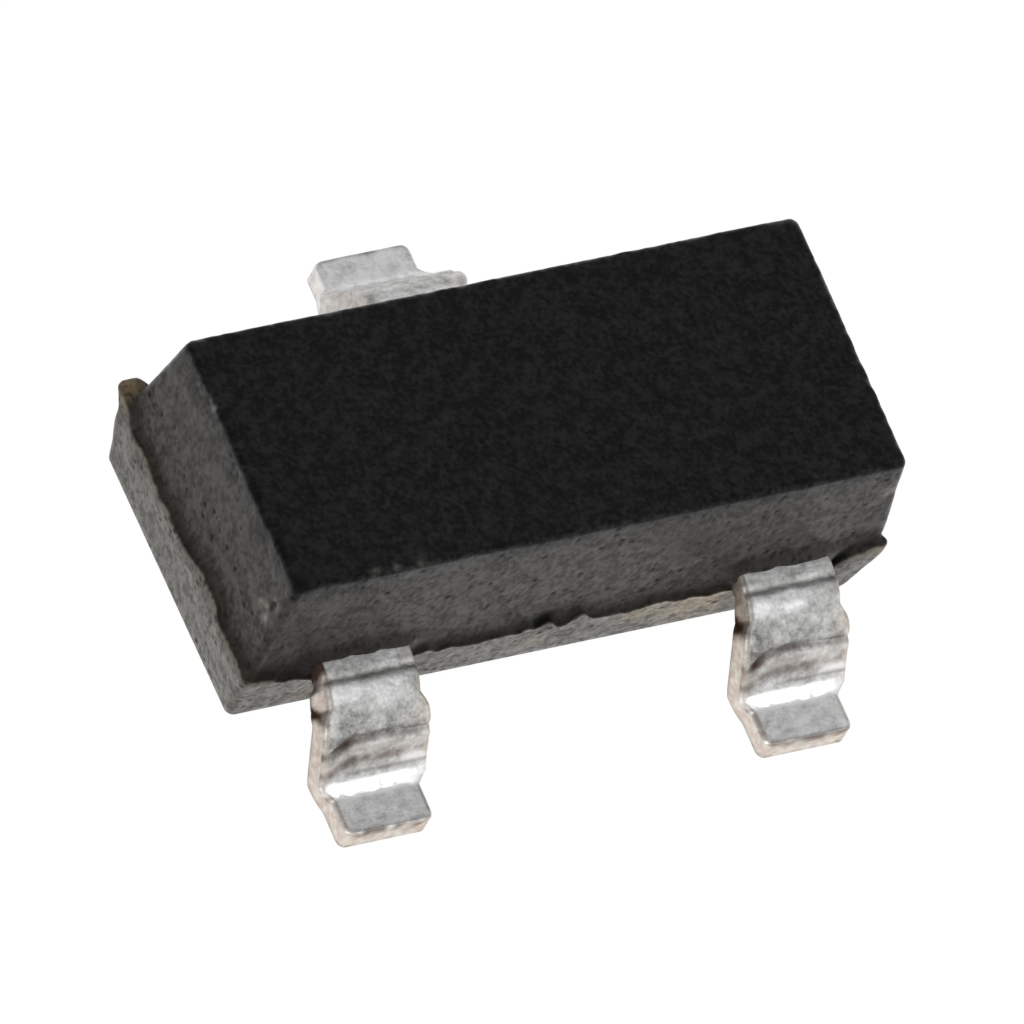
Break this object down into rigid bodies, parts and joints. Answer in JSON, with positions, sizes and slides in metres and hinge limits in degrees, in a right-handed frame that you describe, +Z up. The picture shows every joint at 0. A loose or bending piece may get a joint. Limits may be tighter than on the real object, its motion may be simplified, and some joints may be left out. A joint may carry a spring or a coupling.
{
  "type": "surface-mount mosfet",
  "caption": "Small surface-mount transistor: black moulded epoxy body with bent tin-plated leads at its front and back, made to be soldered flat on a circuit board.",
  "frame": {"origin": "centre of the footprint, at the level of the undersides of the feet", "axes": "+Z up from the board, +X along the body, +Y towards the single lead (drain); the gate and source leads point to -Y, with the gate at -X"},
  "size_m": [0.003, 0.0024, 0.001],
  "materials": {
    "epoxy": "matte",
    "tin_plate": "satin",
    "silver_epoxy": "matte",
    "silicon": "polished",
    "gold": "polished"
  },
  "bodies": {
    "root": {"mould_body": "epoxy", "gate_lead": "tin_plate", "source_lead": "tin_plate", "drain_lead": "tin_plate", "die_attach": "silver_epoxy", "silicon_die": "silicon", "gate_wire": "gold", "source_wire_front": "gold", "source_wire_rear": "gold"}
  },
  "joints": []
}
